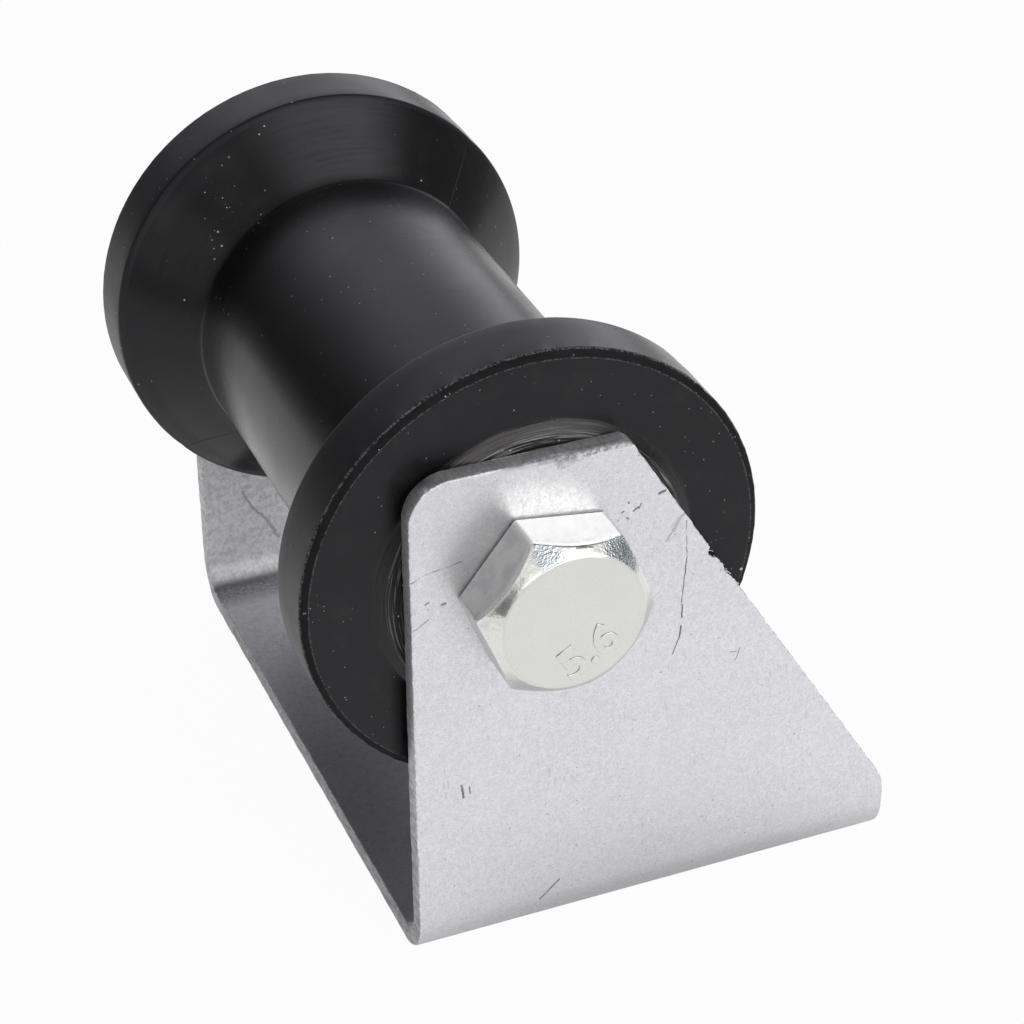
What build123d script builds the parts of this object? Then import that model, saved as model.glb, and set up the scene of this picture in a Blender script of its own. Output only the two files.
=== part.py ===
from build123d import *
import math
import os

# Boat trailer roller: a rubber roller with two flanges that turns on a bolt between the ears
# of a folded steel bracket. Sizes are in millimetres.
# The origin is the centre of the underside of the bracket's base. X runs across the ears,
# Y runs along the bolt, whose head is on the low side, and Z is up.

# Rubber roller
roller_length = 100.0  # over the two flange faces
flange_diameter = 70.0
rim_width = 10.0  # cylindrical edge of each flange
cone_length = 10.2  # along the axis, from a rim's inner edge to the barrel
barrel_diameter = 49.2
hub_diameter = 44.8  # face of the low boss on each end that runs against an ear
hub_foot_diameter = 48.4
hub_height = 1.0
rim_bevel_width = 1.1  # on the flange face
rim_bevel_depth = 0.75  # along the axis
barrel_foot_round = 1.2  # hollow corner between a cone and the barrel
bore_bevel = 0.8

# Running clearances
bore_play = 0.3  # between the roller's bore and the bolt, all round
end_play = 0.3  # between each hub and its ear
ear_hole_play = 0.5  # between the bolt and the edge of its holes in the ears, all round

# Bracket, folded from one sheet
sheet = 3.0
bend_radius = 4.0  # on the inside of each fold
bracket_width = 77.3
axis_from_edge = 20.4  # from the upright edge of the ears to the bolt's axis
axis_height = 62.8  # from the underside of the base to the bolt's axis
ear_above_axis = 21.0
ear_top_width = 32.9  # from the upright edge to the sharp top corner
ear_toe_height = 11.9  # where the slanted edge meets the short upright one
ear_corner_round = 6.4
base_hole_diameter = 13.0
base_hole_spacing = 60.0

# Bolt, with the thread's ridges left out: the threaded length is drawn at its core
bolt_diameter = 16.0
thread_pitch = 2.0
thread_length = 44.0
thread_past_nut = 5.4
bolt_tip_bevel = 1.0
head_across_flats = 23.6
head_height = 9.7
head_face_diameter = 21.3  # flat circle left on the head by its bevel
head_bevel_angle = 44.0
head_turn = -8.2  # degrees from +X to the nearest corner of the head

# Lock nut with a ring of nylon crimped into its collar
nut_across_flats = 23.6
nut_height = 16.0
nut_hex_height = 11.4
nut_bevel_angle = 30.0
nut_turn = 17.0
collar_diameter = 21.6
collar_slope = 1.3  # how far the collar's outer corner is rolled in, and down
insert_diameter = 19.4
insert_height = 3.4
lip_height = 1.1  # rolled edge that holds the ring in
lip_hole_diameter = 17.4
insert_play = 0.05

# Depth of a sixty degree metric thread as a share of its pitch
BOLT_CORE_SHARE = 1.2269
NUT_CORE_SHARE = 1.0825

# Sizes worked out from those above
ear_gap = roller_length + 2 * (hub_height + end_play)
bracket_length = ear_gap + 2 * sheet
ear_height = axis_height + ear_above_axis
axis_x = axis_from_edge - bracket_width / 2
ear_hole_radius = bolt_diameter / 2 + ear_hole_play
bore_radius = bolt_diameter / 2 + bore_play
thread_core_radius = (bolt_diameter - BOLT_CORE_SHARE * thread_pitch) / 2
nut_core_radius = (bolt_diameter - NUT_CORE_SHARE * thread_pitch) / 2
bolt_length = bracket_length + nut_height + thread_past_nut
head_seat_y = -bracket_length / 2
nut_seat_y = bracket_length / 2


def on_bolt_axis(shape):
    """Moves a shape drawn round the Y axis to the bolt's axis."""
    return Pos(axis_x, 0, axis_height) * shape


def turned(corners):
    """A solid turned round the bolt's axis from (radius, place along Y, rounding) corners."""
    points = [(radius, along) for radius, along, _ in corners]
    rounds = [rounding for _, _, rounding in corners]
    outline = FilletPolyline(*points, radius=rounds, close=True)
    return on_bolt_axis(revolve(make_face(outline), axis=Axis.Y))


def hexagon(across_flats, turn, start_y, height):
    """A six-sided bar along the bolt's axis, with a corner turned from +X towards +Z."""
    plane = Plane((axis_x, start_y, axis_height), x_dir=(1, 0, 0), z_dir=(0, -1, 0))
    section = RegularPolygon(across_flats / 2, 6, major_radius=False, rotation=turn)
    return extrude(plane * section, amount=-height)


def corner_radius(across_flats):
    return across_flats / math.sqrt(3)


def roller():
    """One moulding: barrel, cones, rims and hubs, the same at both ends."""
    flange_radius = flange_diameter / 2
    barrel_radius = barrel_diameter / 2
    hub_radius = hub_diameter / 2
    hub_foot_radius = hub_foot_diameter / 2
    face = roller_length / 2
    hub_face = face + hub_height
    rim_inner = face - rim_width
    barrel_end = rim_inner - cone_length
    half = [
        (bore_radius, hub_face - bore_bevel, 0),
        (bore_radius + bore_bevel, hub_face, 0),
        (hub_radius, hub_face, 0),
        (hub_foot_radius, face, 0),
        (flange_radius - rim_bevel_width, face, 0),
        (flange_radius, face - rim_bevel_depth, 0),
        (flange_radius, rim_inner, 0),
        (barrel_radius, barrel_end, barrel_foot_round),
    ]
    other_half = [(radius, -along, rounding) for radius, along, rounding in reversed(half)]
    return turned(half + other_half)


def bracket():
    """A folded U of sheet, trimmed to the outline of the ears and drilled."""
    fold = bend_radius + sheet / 2
    ear_y = (bracket_length - sheet) / 2
    middle_of_sheet = FilletPolyline(
        (-ear_y, ear_height),
        (-ear_y, sheet / 2),
        (ear_y, sheet / 2),
        (ear_y, ear_height),
        radius=fold,
    )
    section = Plane.YZ * trace(middle_of_sheet, sheet)
    folded = extrude(section, amount=bracket_width / 2, both=True)

    left = -bracket_width / 2
    right = bracket_width / 2
    ear_outline = FilletPolyline(
        (left, 0, 0),
        (right, 0, 0),
        (right, 0, ear_toe_height),
        (left + ear_top_width, 0, ear_height),
        (left, 0, ear_height),
        radius=[0, 0, 0, 0, ear_corner_round],
        close=True,
    )
    trimmed = folded & extrude(make_face(ear_outline), amount=bracket_length, both=True)

    bolt_hole = Rot(90, 0, 0) * Cylinder(ear_hole_radius, 2 * bracket_length)
    trimmed -= on_bolt_axis(bolt_hole)
    base_hole = Cylinder(base_hole_diameter / 2, 4 * sheet)
    for side in (-1, 1):
        trimmed -= Pos(0, side * base_hole_spacing / 2, 0) * base_hole
    return trimmed


def bolt():
    """Head, plain shank and threaded length, which is drawn at the thread's core."""
    shank_radius = bolt_diameter / 2
    top = head_seat_y - head_height
    tip = head_seat_y + bolt_length
    thread_start = tip - thread_length
    face_radius = head_face_diameter / 2
    beyond = corner_radius(head_across_flats) + 1
    drop = (beyond - face_radius) * math.tan(math.radians(head_bevel_angle))
    bevelled = turned([
        (0, head_seat_y, 0),
        (beyond, head_seat_y, 0),
        (beyond, top + drop, 0),
        (face_radius, top, 0),
        (0, top, 0),
    ])
    head = hexagon(head_across_flats, head_turn, head_seat_y, -head_height) & bevelled
    stem = turned([
        (0, head_seat_y, 0),
        (shank_radius, head_seat_y, 0),
        (shank_radius, thread_start - (shank_radius - thread_core_radius), 0),
        (thread_core_radius, thread_start, 0),
        (thread_core_radius, tip - bolt_tip_bevel, 0),
        (thread_core_radius - bolt_tip_bevel, tip, 0),
        (0, tip, 0),
    ])
    return head + stem


def lock_nut():
    """A hexagon with bevelled corners at its seat, a round collar and a groove for the ring."""
    shoulder = nut_seat_y + nut_hex_height
    top = nut_seat_y + nut_height
    flat_radius = nut_across_flats / 2
    beyond = corner_radius(nut_across_flats) + 1
    bevel = (beyond - flat_radius) * math.tan(math.radians(nut_bevel_angle))
    collar_radius = collar_diameter / 2
    groove_top = top - lip_height
    groove_foot = groove_top - insert_height
    groove_radius = insert_diameter / 2 + insert_play
    hex_part = hexagon(nut_across_flats, nut_turn, nut_seat_y, nut_hex_height) & turned([
        (0, nut_seat_y, 0),
        (flat_radius, nut_seat_y, 0),
        (beyond, nut_seat_y + bevel, 0),
        (beyond, shoulder - bevel, 0),
        (flat_radius, shoulder, 0),
        (0, shoulder, 0),
    ])
    collar = turned([
        (0, nut_seat_y, 0),
        (collar_radius, nut_seat_y, 0),
        (collar_radius, top - collar_slope, 0),
        (collar_radius - collar_slope / 3, top - collar_slope / 3, 0),
        (collar_radius - collar_slope, top, 0),
        (0, top, 0),
    ])
    hollow = turned([
        (0, nut_seat_y - 1, 0),
        (nut_core_radius, nut_seat_y - 1, 0),
        (nut_core_radius, groove_foot, 0),
        (groove_radius, groove_foot, 0),
        (groove_radius, groove_top, 0),
        (lip_hole_diameter / 2, groove_top, 0),
        (lip_hole_diameter / 2, top + 1, 0),
        (0, top + 1, 0),
    ])
    return hex_part + collar - hollow


def nut_insert():
    """The nylon ring in the nut's groove."""
    top = nut_seat_y + nut_height - lip_height
    foot = top - insert_height
    return turned([
        (nut_core_radius, foot, 0),
        (insert_diameter / 2, foot, 0),
        (insert_diameter / 2, top, 0),
        (nut_core_radius, top, 0),
    ])


os.makedirs("parts", exist_ok=True)
pieces = {
    "bracket": bracket(),
    "roller": roller(),
    "bolt": bolt(),
    "lock_nut": lock_nut(),
    "nut_insert": nut_insert(),
}
for name, shape in pieces.items():
    export_step(shape, f"parts/{name}.step")
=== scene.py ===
import math
import random

import bmesh
import bpy
import numpy as np
from mathutils import Matrix, Vector


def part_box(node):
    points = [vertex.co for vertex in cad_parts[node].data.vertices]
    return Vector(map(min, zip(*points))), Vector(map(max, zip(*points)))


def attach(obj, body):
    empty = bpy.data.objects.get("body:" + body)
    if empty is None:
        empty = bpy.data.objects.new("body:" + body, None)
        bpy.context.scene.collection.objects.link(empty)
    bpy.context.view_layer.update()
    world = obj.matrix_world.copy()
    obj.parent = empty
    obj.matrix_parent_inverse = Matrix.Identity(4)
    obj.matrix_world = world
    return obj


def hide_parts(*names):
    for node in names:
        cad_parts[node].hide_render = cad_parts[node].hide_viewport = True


# A rubber roller with two flanges on a bolt between the ears of a folded, zinc plated bracket.
# Lengths are in millimetres in the frame of the CAD model, and become metres where a mesh is made.

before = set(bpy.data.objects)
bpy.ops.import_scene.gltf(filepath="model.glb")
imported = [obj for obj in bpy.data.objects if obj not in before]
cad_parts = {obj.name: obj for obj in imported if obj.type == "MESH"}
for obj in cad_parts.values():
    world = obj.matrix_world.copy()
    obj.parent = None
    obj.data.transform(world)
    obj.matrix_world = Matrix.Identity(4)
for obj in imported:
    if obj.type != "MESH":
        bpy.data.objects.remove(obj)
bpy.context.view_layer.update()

MM = 0.001
TURN = 2 * math.pi


def node_box(name):
    """Lowest and highest corner of a CAD node in millimetres."""
    low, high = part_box(name)
    return np.array(low) / MM, np.array(high) / MM


bracket_low, bracket_high = node_box("bracket")
roller_low, roller_high = node_box("roller")
bolt_low, bolt_high = node_box("bolt")
nut_high = node_box("lock_nut")[1]

# The bolt's axis, and planes across it
axis_x = (roller_low[0] + roller_high[0]) / 2
axis_z = (roller_low[2] + roller_high[2]) / 2
head_seat_y = bracket_low[1]
head_top_y = bolt_low[1]
nut_seat_y = bracket_high[1]
nut_top_y = nut_high[1]
tip_y = bolt_high[1]

# Rubber roller, as in the CAD model, with the roundings that it leaves out
flange_radius = (roller_high[0] - roller_low[0]) / 2
hub_face_y = roller_high[1]
hub_height = 1.0
rim_width = 10.0
cone_length = 10.2
barrel_radius = 24.6
hub_radius = 22.4
hub_foot_radius = 24.2
bore_radius = 8.3
bore_bevel = 0.8
flange_face_y = hub_face_y - hub_height
rim_inner_y = flange_face_y - rim_width
barrel_end = rim_inner_y - cone_length
rim_bevel_width = 1.1
rim_bevel_depth = 0.75
bevel_foot_y = flange_face_y - rim_bevel_depth
rim_inner_round = 0.9
barrel_foot_round = 1.2
rim_flash = 0.06
far_rim_flash = 0.4  # of the near rim's
knock_count = 22
knock_length = (0.012, 0.04)  # angle
knock_depth = (0.03, 0.12)
knock_reach = 0.8  # along the axis
near_rim_knocks = 0.55  # share of the depth that shows
far_rim_knocks = 0.3
roller_segments = 288
roller_grid = 2.4
worn_grid = 0.26
far_rim_swell = 0.15  # the far rim stands out a little, most on one side
far_rim_shift = 0.3
far_rim_side = math.radians(165)
worn_ring_radius = 17.5
worn_grooves = [(19.1, 0.22), (20.0, 0.3), (20.8, 0.16), (21.4, 0.24), (21.9, 0.14)]  # radius, width
worn_groove_depth = 0.06
parting_angles = (math.radians(42.3), math.radians(-137.7))
parting_ridge = 0.09
parting_ridge_width = 0.16
mould_shift = 0.07
rim_flat_half_angle = math.radians(4.8)

# Bracket
sheet = 3.0
inner_face_y = bracket_high[1] - sheet  # of the far ear
bend_radius = 4.0
ear_top_width = 32.9
ear_toe_height = 11.9
ear_corner_round = 6.4
slant_run = (bracket_high[0] - bracket_low[0] - ear_top_width) / (bracket_high[2] - ear_toe_height)
ear_hole_radius = 8.5
base_hole_radius = 6.5
base_hole_spacing = 60.0
hole_edge_bevel = 0.35
hole_segments = 96
cut_edge_round = 0.2
edge_roll_depth = 1.1
edge_roll_height = 0.8
edge_roll_start = 12.0
edge_roll_full = 25.0
sheet_grid = 1.3
ear_grid = 0.85
ear_columns = 52
edge_columns = np.array([0, 0.03, 0.08, 0.14, 0.22, 0.45, 1.0])  # distances from a cut edge
flat_radius = 11.0  # round the bolt, where the sheet isn't uneven
flat_fade = 6.0
torn_top = 68.0
torn_foot = 53.0
torn_middle = (torn_top + torn_foot) / 2
torn_reach = 4.5
torn_grid = 0.3
torn_notches = [(61.8, 0.8, 0.75), (58.2, 0.6, 0.55)]  # height, reach, depth
burr_count = 22
fibre_tips = [(9.3, 63.4), (10.0, 63.2), (11.4, 56.6)]

# Bolt and nut
shank_radius = 8.0
thread_pitch = 2.0
thread_core_radius = 6.773
thread_crest_radius = 7.95
thread_length = 44.0
thread_segments = 30
bolt_tip_bevel = 1.0
head_across_flats = 23.6
head_face_radius = 10.65
head_bevel_angle = math.radians(44)
head_turn = math.radians(-8.2)
head_corner_round = 0.8
head_hexagon = (head_across_flats, head_turn, head_corner_round)
head_edge_round = 0.36
head_seat_gap = 0.45
nut_across_flats = 23.6
nut_hex_height = 11.4
nut_bevel_angle = math.radians(30)
nut_turn = math.radians(17)
nut_core_radius = 6.9
collar_radius = 10.8
collar_slope = 1.3
lip_hole_radius = 8.7
lip_height = 1.1
insert_height = 3.4
insert_radius = 9.7
ring_segments = 120

# Raised number on the bolt's head
grade_text = "5.6"
grade_size = 7.6
grade_height = 0.18
grade_bevel = 0.06
grade_stroke = 0.14
grade_centre = (-16.0, 57.4)
grade_slope = math.radians(31)

# Colours: zinc sheet, bolt and rubber
sheet_dark = (0.635, 0.63, 0.66, 1)
sheet_light = (0.71, 0.704, 0.732, 1)
sheet_bright = (0.8, 0.795, 0.82, 1)
sheet_grain = (0.45, 0.45, 0.47, 1)
# Painted light: paler tone for the far ear's inner face
far_ear_painted_light = (0.93, 0.925, 0.94, 1)
bolt_dark = (0.66, 0.67, 0.635, 1)
bolt_light = (0.72, 0.727, 0.695, 1)
# Painted reflection: bluish tint for the head's bevel
bevel_reflection_blue = (0.57, 0.62, 0.68, 1)
rubber_dark = (0.0066, 0.0065, 0.0071, 1)
rubber_light = (0.0104, 0.0102, 0.0112, 1)
rubber_rim = (0.019, 0.0187, 0.0215, 1)
rubber_film = (0.019, 0.0185, 0.018, 1)
cone_film = (0.047, 0.0455, 0.048, 1)
# Scuff and painted highlight on the hub's shoulder
shoulder_scuff_and_highlight = (0.1, 0.092, 0.082, 1)
rubber_rough = 0.23
rubber_shine = 0.23
rubber_tint = (0.95, 0.94, 1.0, 1)

# In reflections the floor is white near the object and dim beyond, in metres
floor_lit_middle = (0.05, 0.09, 0)
floor_lit_radius = 0.42
floor_dim_radius = 0.52
floor_shade = 0.5
floor_shade_radius = 0.05
floor_shade_end = 0.085
floor_glow_share = 0.96  # the rest of what is seen is plain floor, which takes the shadow
floor_brightness = 1.1
floor_dimness = 0.25
wall_brightness = 0.01
studio_tint = (0.975, 0.955, 1.0, 1)

# Soft lights of the studio: azimuth from +Y towards +X, elevation, brightness
studio_light_size = 14.0  # degrees from a light's middle to where it fades
studio_lights = [
    (0, 32, 1.1), (150, 32, 3.9), (210, 32, 1.2),
    (0, 8, 0.8), (26, 8, 1.0), (51, 8, 1.55), (77, 8, 0.25),
    (154, 8, 1.9), (180, 8, 1.8), (206, 8, 0.55), (257, 8, 0.25),
]

# The photograph's camera, found from the object's straight edges and circles
camera_place = (-0.147201, -0.359168, 0.286969)
camera_ahead = (0.3168, 0.78063, -0.53876)
camera_right = (0.92501, -0.37989, -0.00651)
camera_lens = 100.337
sensor_width = 36.0


# Outlines

def unit(vector):
    return vector / np.linalg.norm(vector)


def rounded(corners, steps=4, closed=False):
    """Points of an outline from (across, along, rounding) corners, a rounding drawn as steps + 1 points."""
    places = [np.array(corner[:2], float) for corner in corners]
    last = len(corners) - 1
    points = []
    for i, corner in enumerate(corners):
        here = places[i]
        radius = corner[2]
        if radius <= 0 or (not closed and i in (0, last)):
            points.append(here)
            continue
        back = unit(places[i - 1] - here)
        ahead = unit(places[(i + 1) % len(corners)] - here)
        half = math.acos(np.clip(back @ ahead, -1, 1)) / 2
        centre = here + unit(back + ahead) * radius / math.sin(half)
        first = here + back * radius / math.tan(half) - centre
        final = here + ahead * radius / math.tan(half) - centre
        turn = math.pi - 2 * half
        for step in range(steps + 1):
            share = step / steps
            from_first = math.sin((1 - share) * turn) / math.sin(turn)
            from_final = math.sin(share * turn) / math.sin(turn)
            points.append(centre + from_first * first + from_final * final)
    return np.array(points)


def run_counts(points, spacing):
    """How many parts each run of an outline is cut into, for a spacing."""
    lengths = np.linalg.norm(np.diff(points, axis=0), axis=1)
    return np.maximum(1, np.round(lengths / spacing).astype(int))


def divided(points, counts):
    """An outline with each run cut into its count of parts."""
    cut = []
    for start, end, count in zip(points[:-1], points[1:], counts):
        cut += [start + (end - start) * part / count for part in range(count)]
    return np.array(cut + [points[-1]])


def hexagon_radius(angle, across_flats, turn, corner_round):
    """Distance from the middle of a hexagon with rounded corners to its edge, at an angle."""
    flat = across_flats / 2
    to_corner = (angle - turn + math.pi / 6) % (math.pi / 3) - math.pi / 6
    centre = (flat - corner_round) / math.cos(math.pi / 6)
    arc_end = math.atan2(corner_round / 2, centre + corner_round * math.cos(math.pi / 6))
    if abs(to_corner) < arc_end:
        inside = corner_round ** 2 - (centre * math.sin(to_corner)) ** 2
        return centre * math.cos(to_corner) + math.sqrt(inside)
    return flat / math.cos(math.pi / 6 - abs(to_corner))


def hexagon_angles(turn, between=26):
    """Angles round a hexagon, closer together at its six corners."""
    near_corner = [math.radians(x) for x in (-2.4, -1.6, -0.9, -0.3, 0.3, 0.9, 1.6, 2.4)]
    angles = []
    for corner in range(6):
        middle = turn + corner * math.pi / 3
        angles += [middle + offset for offset in near_corner]
        start = middle + math.radians(3.2)
        stop = middle + math.pi / 3 - math.radians(3.2)
        angles += list(np.linspace(start, stop, between))
    return np.array(angles)


# Meshes

def placed(name, data):
    """A new object of the scene."""
    made = bpy.data.objects.new(name, data)
    bpy.context.scene.collection.objects.link(made)
    bpy.context.view_layer.update()
    return made


def shaped(piece):
    """The mesh of an object with its modifiers applied."""
    graph = bpy.context.evaluated_depsgraph_get()
    return bpy.data.meshes.new_from_object(piece.evaluated_get(graph))


def solid(name, points, faces, materials, sharp=35, weld=0.0):
    """A mesh piece from points in millimetres, with smooth faces and outward normals."""
    mesh = bpy.data.meshes.new(name)
    mesh.from_pydata((np.asarray(points) * MM).tolist(), [], faces)
    work = bmesh.new()
    work.from_mesh(mesh)
    if weld:
        bmesh.ops.remove_doubles(work, verts=work.verts, dist=weld * MM)
    bmesh.ops.recalc_face_normals(work, faces=work.faces)
    work.to_mesh(mesh)
    work.free()
    mesh.shade_smooth()
    mesh.set_sharp_from_angle(angle=math.radians(sharp))
    for material in materials:
        mesh.materials.append(material)
    return placed(name, mesh)


def mark_points(piece, name, values):
    attribute = piece.data.attributes.new(name, "FLOAT", "POINT")
    attribute.data.foreach_set("value", values.astype(np.float32))


def grid_faces(rows, columns, rows_closed, columns_closed, first=0):
    """Four-sided faces of a grid of points numbered row by row."""
    faces = []
    for row in range(rows if rows_closed else rows - 1):
        below = (row + 1) % rows
        for column in range(columns if columns_closed else columns - 1):
            beside = (column + 1) % columns
            faces.append((
                first + row * columns + column,
                first + row * columns + beside,
                first + below * columns + beside,
                first + below * columns + column,
            ))
    return faces


def round_axis(profiles, angles):
    """Points at (radius, place along Y) of one profile for each angle, from +X towards +Z."""
    across = profiles[:, :, 0]
    x = axis_x + across * np.cos(angles)[:, None]
    z = axis_z + across * np.sin(angles)[:, None]
    return np.stack([x, profiles[:, :, 1], z], axis=2)


def turned(name, profiles, angles, materials, closed, sharp=35):
    """A piece made of one profile for each angle round the bolt's axis."""
    points = round_axis(profiles, angles).reshape(-1, 3)
    faces = grid_faces(len(angles), profiles.shape[1], True, closed)
    return solid(name, points, faces, materials, sharp, weld=0.001)


def waves(places, seed, shortest, longest, height, count=14):
    """A gentle uneven field over points: a sum of plane waves with random directions."""
    draw = random.Random(seed)
    total = np.zeros(len(places))
    for _ in range(count):
        direction = np.array([draw.gauss(0, 1) for _ in range(places.shape[1])])
        length = draw.uniform(shortest, longest)
        phase = draw.uniform(0, TURN)
        total += np.sin(places @ unit(direction) * TURN / length + phase)
    return height * total / math.sqrt(count)


# Node trees

class Output:
    """A node's output. Its sums, differences and products with other outputs or numbers are new nodes."""

    def __init__(self, nodes, socket):
        self.nodes = nodes
        self.socket = socket

    def __add__(self, other):
        return self.nodes.maths("ADD", self, other)

    def __sub__(self, other):
        return self.nodes.maths("SUBTRACT", self, other)

    def __rsub__(self, other):
        return self.nodes.maths("SUBTRACT", other, self)

    def __mul__(self, other):
        return self.nodes.maths("MULTIPLY", self, other)

    def __abs__(self):
        return self.nodes.maths("ABSOLUTE", self)

    def fade(self, start, end, low=0.0, high=1.0):
        """Low before start, high after end, and smooth between them."""
        inputs = {0: self, 1: start, 2: end, 3: low, 4: high}
        return self.nodes.add("ShaderNodeMapRange", inputs, interpolation_type="SMOOTHSTEP")

    def near(self, middle, reach, core, low=0.0, high=1.0):
        """High within the core round a middle value, and low beyond its reach."""
        return abs(self - middle).fade(reach, core, low, high)


class Nodes:
    """A node tree, with short calls that each give back the new node's output."""

    def __init__(self, tree):
        self.tree = tree
        tree.nodes.clear()

    def node(self, kind, inputs=(), **settings):
        made = self.tree.nodes.new(kind)
        for name, value in settings.items():
            setattr(made, name, value)
        for key, value in dict(inputs).items():
            if isinstance(value, Output):
                self.tree.links.new(value.socket, made.inputs[key])
            else:
                made.inputs[key].default_value = value
        return made

    def add(self, kind, inputs=(), give=0, **settings):
        """The output of a new node that has that number or name."""
        return Output(self, self.node(kind, inputs, **settings).outputs[give])

    def several(self, kind, inputs=()):
        """All outputs of a new node, by name."""
        return {socket.name: Output(self, socket) for socket in self.node(kind, inputs).outputs}

    def maths(self, operation, *values, clamp=False):
        return self.add("ShaderNodeMath", dict(enumerate(values)), operation=operation, use_clamp=clamp)

    def vector(self, operation, *values, scale=None):
        inputs = dict(enumerate(values))
        if scale is not None:
            inputs["Scale"] = scale
        give = "Value" if operation in ("LENGTH", "DOT_PRODUCT", "DISTANCE") else "Vector"
        return self.add("ShaderNodeVectorMath", inputs, give, operation=operation)

    def parts(self, place):
        """The three coordinates of a place."""
        return list(self.several("ShaderNodeSeparateXYZ", {0: place}).values())

    def mix(self, share, first, second):
        return self.add("ShaderNodeMix", {0: share, 6: first, 7: second}, 2, data_type="RGBA")

    def most(self, *values):
        found = values[0]
        for value in values[1:]:
            found = self.maths("MAXIMUM", found, value)
        return found


def line_mark_group():
    """A group that gives 1 on a straight stroke between two points and 0 away from it."""
    tree = bpy.data.node_groups.new("line_mark", "ShaderNodeTree")
    for name, kind in (("Place", "Vector"), ("From", "Vector"), ("To", "Vector"), ("Width", "Float")):
        tree.interface.new_socket(name=name, in_out="INPUT", socket_type="NodeSocket" + kind)
    tree.interface.new_socket(name="Mask", in_out="OUTPUT", socket_type="NodeSocketFloat")
    nodes = Nodes(tree)
    given = nodes.several("NodeGroupInput")
    from_start = nodes.vector("SUBTRACT", given["Place"], given["From"])
    along = nodes.vector("SUBTRACT", given["To"], given["From"])
    reach = nodes.vector("DOT_PRODUCT", from_start, along)
    whole = nodes.vector("DOT_PRODUCT", along, along)
    share = nodes.maths("DIVIDE", reach, whole, clamp=True)
    nearest = nodes.vector("SCALE", along, scale=share)
    distance = nodes.vector("LENGTH", nodes.vector("SUBTRACT", from_start, nearest))
    nodes.node("NodeGroupOutput", {"Mask": distance.fade(given["Width"], given["Width"] * 0.3)})
    return tree


line_mark = line_mark_group()


class Finish(Nodes):
    """A material whose textures are fixed to the piece, in millimetres."""

    def __init__(self, name):
        self.material = bpy.data.materials.new(name)
        self.material.use_nodes = True
        super().__init__(self.material.node_tree)
        self.place = self.vector("SCALE", self.add("ShaderNodeTexCoord", give="Object"), scale=1 / MM)
        self.patterns = {}
        self.drift = None

    def surface(self, **inputs):
        named = {key.replace("_", " "): value for key, value in inputs.items()}
        self.node("ShaderNodeOutputMaterial", {"Surface": self.add("ShaderNodeBsdfPrincipled", named)})
        return self.material

    def attribute(self, name):
        return self.add("ShaderNodeAttribute", give="Fac", attribute_name=name)

    def noise(self, size, detail=3.0, roughness=0.55, place=None, stretch=None):
        """Noise from 0 to 1 whose coarsest form is about that size, in the units of the place."""
        place = place or self.place
        if stretch:
            place = self.vector("MULTIPLY", place, stretch)
        inputs = {"Vector": place, "Scale": 1 / size, "Detail": detail, "Roughness": roughness}
        return self.add("ShaderNodeTexNoise", inputs)

    def specks(self, size, radius, share):
        """Random dots: one cell in so many has a dot of up to that radius, a share of the cell size."""
        if size not in self.patterns:
            cells = self.several("ShaderNodeTexVoronoi", {"Vector": self.place, "Scale": 1 / size})
            chance = self.several("ShaderNodeSeparateColor", {0: cells["Color"]})
            self.patterns[size] = cells["Distance"], chance["Red"], chance["Green"]
        distance, chance, spread = self.patterns[size]
        dot = (distance - spread * radius).fade(0.0, -0.04)
        return chance.fade(1 - share, 1 - share * 0.9) * dot

    def spots(self, listed, core):
        """Round spots from (middle, reach) pairs, each full within a share of its reach."""
        return self.most(*[self.vector("DISTANCE", self.place, middle).fade(reach, core * reach)
                           for middle, reach in listed])

    def strokes(self, lines, wander=0.35):
        """Marks along straight lines given as (start, end, width), slightly wandering."""
        if self.drift is None:
            inputs = {"Vector": self.place, "Scale": 0.7, "Detail": 3.0}
            noise = self.add("ShaderNodeTexNoise", inputs, "Color")
            self.drift = self.vector("SUBTRACT", noise, (0.5, 0.5, 0.5))
        place = self.vector("ADD", self.place, self.vector("SCALE", self.drift, scale=wander))
        return self.most(*[
            self.add("ShaderNodeGroup", {"Place": place, "From": start, "To": end, "Width": width},
                     node_tree=line_mark)
            for start, end, width in lines
        ])

    def bump(self, height, depth, normal=None):
        """Relief of a height field from 0 to 1, with its depth in millimetres."""
        inputs = {"Height": height, "Distance": depth * MM, "Strength": 1.0}
        if normal:
            inputs["Normal"] = normal
        return self.add("ShaderNodeBump", inputs)

    def layers(self, colour, listed):
        """A colour under layers of (share, colour), each over those before it."""
        for share, over in listed:
            colour = self.mix(share, colour, over)
        return colour

    def round_bolt(self):
        """Distance from the bolt's axis, angle round it and place along it."""
        x, along, z = self.parts(self.place)
        across = x - axis_x
        up = z - axis_z
        return self.maths("SQRT", across * across + up * up), self.maths("ARCTAN2", up, across), along


def on_ear(from_edge, height):
    """A point on the near ear's outer face, by its distance from the upright edge and the base."""
    return (bracket_low[0] + from_edge, bracket_low[1], height)


def on_far_ear(from_edge, height):
    """A point on the far ear's inner face, by its distance from the upright edge and the base."""
    return (bracket_low[0] + from_edge, inner_face_y, height)


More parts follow.
